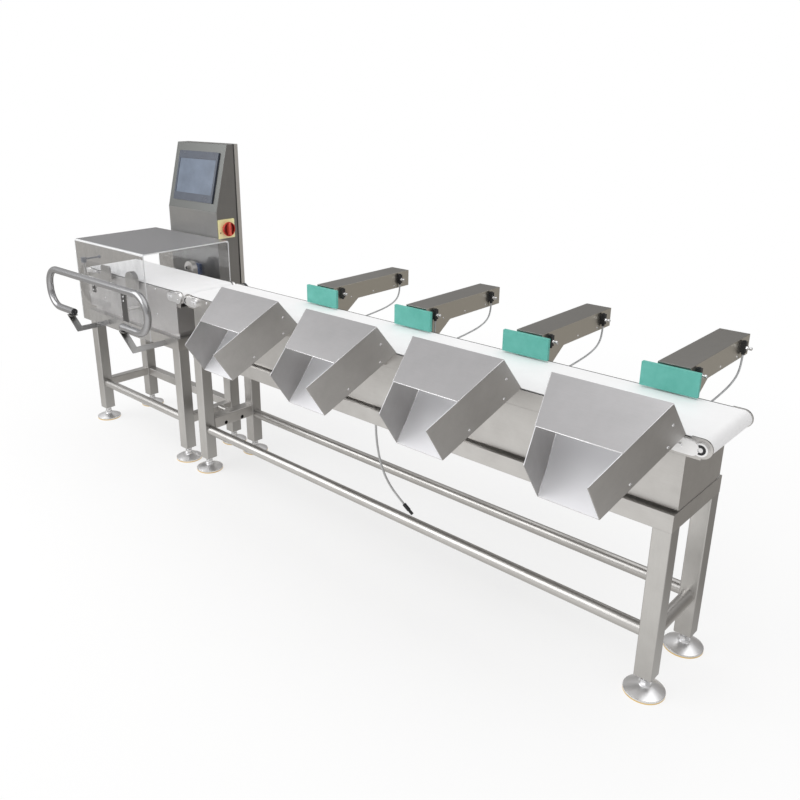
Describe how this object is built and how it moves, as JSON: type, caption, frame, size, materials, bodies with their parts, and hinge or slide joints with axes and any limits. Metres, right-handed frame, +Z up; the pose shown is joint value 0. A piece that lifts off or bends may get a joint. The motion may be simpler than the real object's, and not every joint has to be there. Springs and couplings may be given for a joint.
{
  "type": "checkweigher with pusher sorting line",
  "caption": "Belt checkweigher with clear cover and display tower, feeding a sorting belt with pneumatic pushers and sloping discharge chutes on welded stainless frames.",
  "frame": {"origin": "middle of the bounding box at floor level, without the hanging cable", "axes": "+X along product flow towards the outfeed, +Y towards the pushers and tower, +Z up"},
  "size_m": [2.9769, 1.0182, 1.309],
  "materials": {
    "stainless": "satin brushed stainless tube and sheet",
    "brushed_sheet": "brushed stainless sheet",
    "polished_steel": "polished",
    "belt_white": "matte white belting",
    "pad_yellow": "matte",
    "motor_aluminium": "satin",
    "black_plastic": "matte",
    "plate_green": "satin",
    "hose_grey": "translucent grey",
    "clear_sheet": "clear, polished edges",
    "screen_dark": "glossy dark bezel",
    "switch_yellow": "gloss",
    "switch_red": "gloss",
    "label_blue": "gloss",
    "cable_grey": "matte"
  },
  "bodies": {
    "base": {"sorter_legs": "stainless", "weigh_legs": "stainless", "sorter_top_rails": "stainless", "weigh_top_rails": "stainless", "lower_stretchers": "stainless", "levelling_foot_pads": "pad_yellow", "levelling_foot_discs": "polished_steel", "levelling_foot_spindles": "polished_steel", "sorter_housing": "stainless", "belt_beds": "stainless", "conveyor_side_plates": "stainless", "sorter_belt": "belt_white", "weigh_belt": "belt_white", "roller_bearing_blocks": "stainless", "sorter_drive_motor": "motor_aluminium", "drive_belt": "black_plastic", "chute_tray_1": "brushed_sheet", "chute_tray_2": "brushed_sheet", "chute_tray_3": "brushed_sheet", "chute_tray_4": "brushed_sheet", "chute_covers": "brushed_sheet", "chute_brackets": "stainless", "pusher_housings": "stainless", "pusher_cylinders": "motor_aluminium", "pusher_fittings": "black_plastic", "pusher_hose_1": "hose_grey", "pusher_hose_2": "hose_grey", "pusher_hose_3": "hose_grey", "pusher_hose_4": "hose_grey", "return_hose_2": "hose_grey", "weigh_base": "brushed_sheet", "load_cell": "motor_aluminium", "clear_cover": "clear_sheet", "cover_brackets": "stainless", "handle_tube": "polished_steel", "handle_arms": "stainless", "infeed_bracket": "stainless", "photo_eyes": "stainless", "tower_column": "brushed_sheet", "touch_screen": "screen_dark", "switch_plate": "switch_yellow", "connector_box": "label_blue", "signal_cable": "cable_grey", "cable_plug": "black_plastic"},
    "pusher_1": {"pusher_plate_1": "plate_green", "pusher_rods_1": "polished_steel"},
    "pusher_2": {"pusher_plate_2": "plate_green", "pusher_rods_2": "polished_steel"},
    "pusher_3": {"pusher_plate_3": "plate_green", "pusher_rods_3": "polished_steel"},
    "pusher_4": {"pusher_plate_4": "plate_green", "pusher_rods_4": "polished_steel"},
    "sorter_drive": {"sorter_drive_roller": "polished_steel"},
    "sorter_tail": {"sorter_tail_roller": "polished_steel"},
    "pulley": {"motor_pulley": "motor_aluminium"},
    "weigh_drive": {"weigh_drive_roller": "polished_steel"},
    "weigh_tail": {"weigh_tail_roller": "polished_steel"},
    "door": {"tower_door": "brushed_sheet"},
    "knob": {"switch_knob": "switch_red"},
    "lever": {"clamp_lever": "polished_steel"}
  },
  "joints": [
    {"name": "pusher_1_stroke", "type": "slide", "parent": "base", "child": "pusher_1", "axis": [0, -1, 0], "range_m": [0, 0.23]},
    {"name": "pusher_2_stroke", "type": "slide", "parent": "base", "child": "pusher_2", "axis": [0, -1, 0], "range_m": [0, 0.23]},
    {"name": "pusher_3_stroke", "type": "slide", "parent": "base", "child": "pusher_3", "axis": [0, -1, 0], "range_m": [0, 0.23]},
    {"name": "pusher_4_stroke", "type": "slide", "parent": "base", "child": "pusher_4", "axis": [0, -1, 0], "range_m": [0, 0.23]},
    {"name": "sorter_drive_spin", "type": "hinge", "parent": "base", "child": "sorter_drive", "pos_m": [-0.608, -0.05093, 0.7315], "axis": [0, 1, 0], "continuous": true},
    {"name": "sorter_tail_spin", "type": "hinge", "parent": "base", "child": "sorter_tail", "pos_m": [1.463, -0.05093, 0.7315], "axis": [0, 1, 0], "continuous": true},
    {"name": "motor_pulley_spin", "type": "hinge", "parent": "base", "child": "pulley", "pos_m": [-0.4515, -0.05093, 0.636], "axis": [0, 1, 0], "continuous": true},
    {"name": "weigh_drive_spin", "type": "hinge", "parent": "base", "child": "weigh_drive", "pos_m": [-0.665, -0.05093, 0.7315], "axis": [0, 1, 0], "continuous": true},
    {"name": "weigh_tail_spin", "type": "hinge", "parent": "base", "child": "weigh_tail", "pos_m": [-1.413, -0.05093, 0.7315], "axis": [0, 1, 0], "continuous": true},
    {"name": "tower_door_hinge", "type": "hinge", "parent": "base", "child": "door", "pos_m": [-1.2558, 0.29907, 0.9], "axis": [0, 0, 1], "range_deg": [0, 110]},
    {"name": "main_switch_turn", "type": "hinge", "parent": "base", "child": "knob", "pos_m": [-0.8735, 0.22807, 0.943], "axis": [-1, 0, 0], "range_deg": [0, 90]},
    {"name": "clamp_lever_turn", "type": "hinge", "parent": "base", "child": "lever", "pos_m": [-1.3715, -0.21893, 0.803], "axis": [0, 0, 1], "range_deg": [0, 90]}
  ],
  "couplings": [
    {"joint": "sorter_tail_spin", "follows": "sorter_drive_spin", "ratio": 1},
    {"joint": "motor_pulley_spin", "follows": "sorter_drive_spin", "ratio": 1},
    {"joint": "weigh_tail_spin", "follows": "weigh_drive_spin", "ratio": 1}
  ]
}
